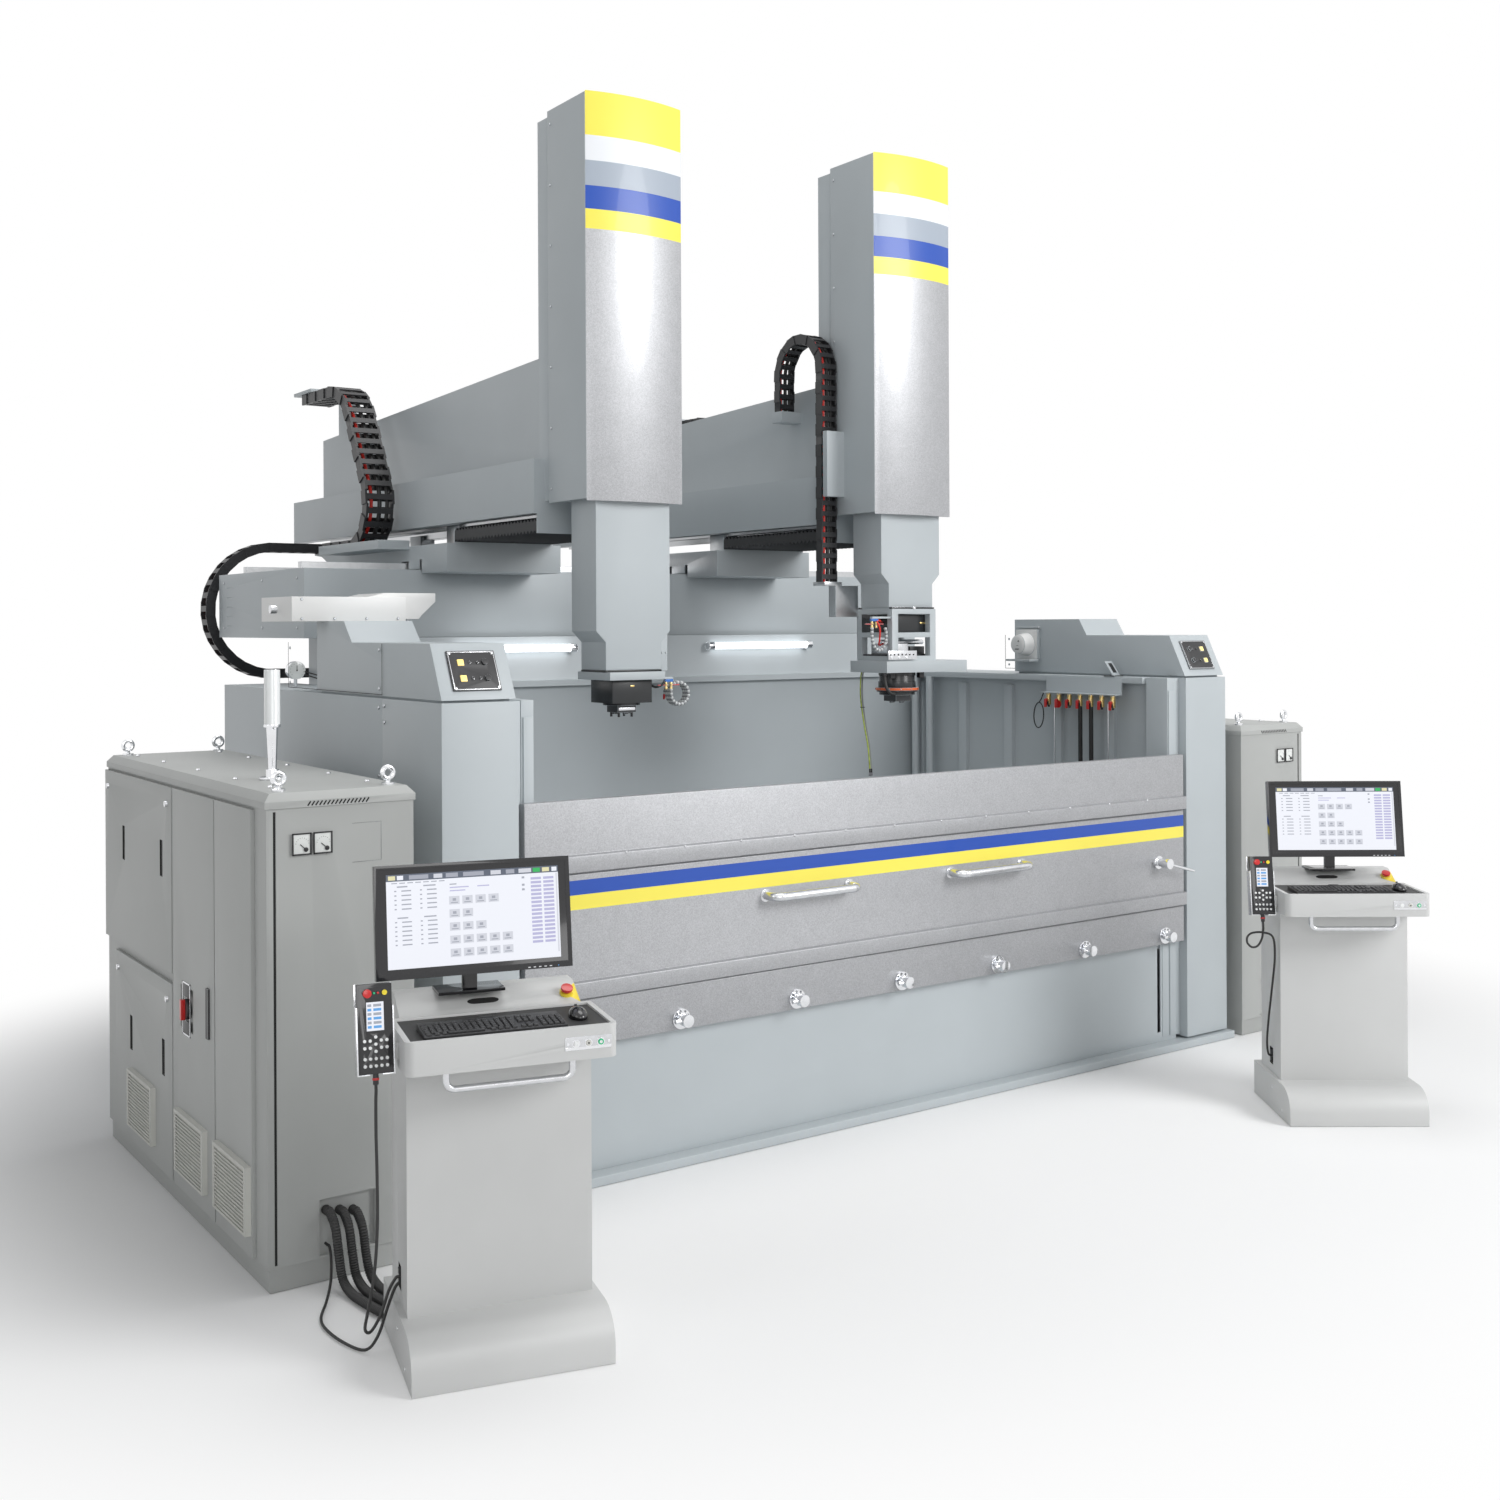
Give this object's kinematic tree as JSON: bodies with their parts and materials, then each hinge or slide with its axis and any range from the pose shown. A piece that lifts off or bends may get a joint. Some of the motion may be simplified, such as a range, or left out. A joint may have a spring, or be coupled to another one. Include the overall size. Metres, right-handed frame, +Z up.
{
  "type": "sinker electrical discharge machine",
  "caption": "Large twin-head sinker electrical discharge machine: work tank with drop door, cross beam, rams and heads, electrical cabinets and operator consoles.",
  "frame": {"origin": "on the floor, under the middle of the work tank and its table", "axes": "+Z up, +X to the right along the tank door, +Y to the back"},
  "size_m": [6.2796, 5.8531, 4.775],
  "materials": {
    "machine_paint": "satin",
    "cabinet_paint": "satin",
    "console_paint": "satin",
    "metallic_paint": "metallic",
    "white_paint": "satin",
    "ground_steel": "satin",
    "chrome": "polished",
    "brass": "polished",
    "black_plastic": "matte",
    "bellows_cloth": "matte",
    "black_rubber": "matte",
    "hose_plastic": "satin",
    "lamp_glass": "gloss",
    "tower_lens": "gloss",
    "red_plastic": "gloss",
    "button_plastic": "gloss"
  },
  "bodies": {
    "machine": {"base_frame": "machine_paint", "machine_bed": "machine_paint", "work_tank": "machine_paint", "work_table": "ground_steel", "left_post": "machine_paint", "right_post": "machine_paint", "left_control_pod": "machine_paint", "right_control_pod": "machine_paint", "cross_beam": "machine_paint", "work_lights": "lamp_glass", "valve_manifold": "brass", "tool_changer": "white_paint", "left_cabinet": "cabinet_paint", "right_cabinet": "cabinet_paint", "cabinet_covers": "cabinet_paint", "lifting_eyes": "brass", "signal_tower": "tower_lens", "beam_chain": "black_plastic", "cable_conduits": "black_rubber", "console_1": "console_paint", "console_2": "console_paint", "keyboards": "black_plastic", "pendant_cable_1": "black_rubber", "pendant_cable_2": "black_rubber"},
    "door": {"tank_door": "metallic_paint", "door_hardware": "ground_steel"},
    "lever": {"door_lever": "chrome"},
    "saddle_left": {"saddle_1": "machine_paint", "bellows_1": "bellows_cloth"},
    "ram_left": {"ram_1": "machine_paint", "head_cover_1": "machine_paint", "head_panel_1": "metallic_paint", "ram_chain_1": "black_plastic"},
    "quill_left": {"quill_1": "machine_paint", "flush_hose_1": "hose_plastic"},
    "spindle_left": {"chuck_1": "chrome"},
    "saddle_right": {"saddle_2": "machine_paint", "bellows_2": "bellows_cloth"},
    "ram_right": {"ram_2": "machine_paint", "head_cover_2": "machine_paint", "head_panel_2": "metallic_paint", "ram_chain_2": "black_plastic", "head_chain_2": "black_plastic"},
    "quill_right": {"quill_2": "machine_paint", "flush_hose_2": "hose_plastic"},
    "spindle_right": {"chuck_2": "chrome"},
    "bay_door": {"cabinet_door": "cabinet_paint"},
    "power_switch": {"main_switch": "black_plastic"},
    "display_1": {"screen_1": "black_plastic"},
    "stop_1": {"stop_button_1": "red_plastic"},
    "hand_pendant_1": {"pendant_1": "black_plastic"},
    "button_1a": {"push_button_1a": "button_plastic"},
    "button_1b": {"push_button_1b": "button_plastic"},
    "button_1c": {"push_button_1c": "button_plastic"},
    "display_2": {"screen_2": "black_plastic"},
    "stop_2": {"stop_button_2": "red_plastic"},
    "hand_pendant_2": {"pendant_2": "black_plastic"},
    "button_2a": {"push_button_2a": "button_plastic"},
    "button_2b": {"push_button_2b": "button_plastic"},
    "button_2c": {"push_button_2c": "button_plastic"}
  },
  "joints": [
    {"name": "door_slide", "type": "slide", "parent": "machine", "child": "door", "axis": [0, 0, -1], "range_m": [0, 0.5]},
    {"name": "door_lever_turn", "type": "hinge", "parent": "door", "child": "lever", "pos_m": [1.801, -1.17, 1.037], "axis": [0, 1, 0], "range_deg": [-90, 0]},
    {"name": "left_x", "type": "slide", "parent": "machine", "child": "saddle_left", "axis": [1, 0, 0], "range_m": [-0.45, 0.45], "deforming": ["beam_chain"]},
    {"name": "left_y", "type": "slide", "parent": "saddle_left", "child": "ram_left", "axis": [0, 1, 0], "range_m": [-0.25, 0.7], "deforming": ["bellows_1", "ram_chain_1"]},
    {"name": "left_z", "type": "slide", "parent": "ram_left", "child": "quill_left", "axis": [0, 0, 1], "range_m": [-0.5, 0.25]},
    {"name": "left_c", "type": "hinge", "parent": "quill_left", "child": "spindle_left", "pos_m": [-1.155, -0.445, 2], "axis": [0, 0, 1], "continuous": true},
    {"name": "right_x", "type": "slide", "parent": "machine", "child": "saddle_right", "axis": [1, 0, 0], "range_m": [-0.5, 0.9]},
    {"name": "right_y", "type": "slide", "parent": "saddle_right", "child": "ram_right", "axis": [0, 1, 0], "range_m": [-0.25, 0.7], "deforming": ["bellows_2", "ram_chain_2"]},
    {"name": "right_z", "type": "slide", "parent": "ram_right", "child": "quill_right", "axis": [0, 0, 1], "range_m": [-0.5, 0.25], "deforming": ["head_chain_2"]},
    {"name": "right_c", "type": "hinge", "parent": "quill_right", "child": "spindle_right", "pos_m": [0.545, -0.445, 2], "axis": [0, 0, 1], "continuous": true},
    {"name": "bay_door_hinge", "type": "hinge", "parent": "machine", "child": "bay_door", "pos_m": [-3.19, -0.336, 0.9], "axis": [0, 0, 1], "range_deg": [-110, 0]},
    {"name": "power_switch_turn", "type": "hinge", "parent": "bay_door", "child": "power_switch", "pos_m": [-3.2, -0.528, 0.83], "axis": [1, 0, 0], "range_deg": [0, 90]},
    {"name": "display_1_tilt", "type": "hinge", "parent": "machine", "child": "display_1", "pos_m": [-2.73571, -2.13548, 1.378], "axis": [0.9703, -0.2419, 0], "range_deg": [-8, 10]},
    {"name": "stop_1_press", "type": "slide", "parent": "machine", "child": "stop_1", "axis": [0.1132, 0.454, -0.8838], "range_m": [0, 0.004], "stiffness_N_per_m": 1500},
    {"name": "button_1a_press", "type": "slide", "parent": "machine", "child": "button_1a", "axis": [0.2419, 0.9703, 0], "range_m": [0, 0.004], "stiffness_N_per_m": 900},
    {"name": "button_1b_press", "type": "slide", "parent": "machine", "child": "button_1b", "axis": [0.2419, 0.9703, 0], "range_m": [0, 0.004], "stiffness_N_per_m": 900},
    {"name": "button_1c_press", "type": "slide", "parent": "machine", "child": "button_1c", "axis": [0.2419, 0.9703, 0], "range_m": [0, 0.004], "stiffness_N_per_m": 900},
    {"name": "pendant_1_lift", "type": "slide", "parent": "machine", "child": "hand_pendant_1", "axis": [0.0378, 0.1518, 0.9877], "range_m": [0, 0.12], "deforming": ["pendant_cable_1"]},
    {"name": "display_2_tilt", "type": "hinge", "parent": "machine", "child": "display_2", "pos_m": [1.77048, -2.23566, 1.378], "axis": [0.809, -0.5878, 0], "range_deg": [-8, 10]},
    {"name": "stop_2_press", "type": "slide", "parent": "machine", "child": "stop_2", "axis": [0.275, 0.3785, -0.8838], "range_m": [0, 0.004], "stiffness_N_per_m": 1500},
    {"name": "button_2a_press", "type": "slide", "parent": "machine", "child": "button_2a", "axis": [0.5878, 0.809, 0], "range_m": [0, 0.004], "stiffness_N_per_m": 900},
    {"name": "button_2b_press", "type": "slide", "parent": "machine", "child": "button_2b", "axis": [0.5878, 0.809, 0], "range_m": [0, 0.004], "stiffness_N_per_m": 900},
    {"name": "button_2c_press", "type": "slide", "parent": "machine", "child": "button_2c", "axis": [0.5878, 0.809, 0], "range_m": [0, 0.004], "stiffness_N_per_m": 900},
    {"name": "pendant_2_lift", "type": "slide", "parent": "machine", "child": "hand_pendant_2", "axis": [0.092, 0.1266, 0.9877], "range_m": [0, 0.12], "deforming": ["pendant_cable_2"]}
  ]
}
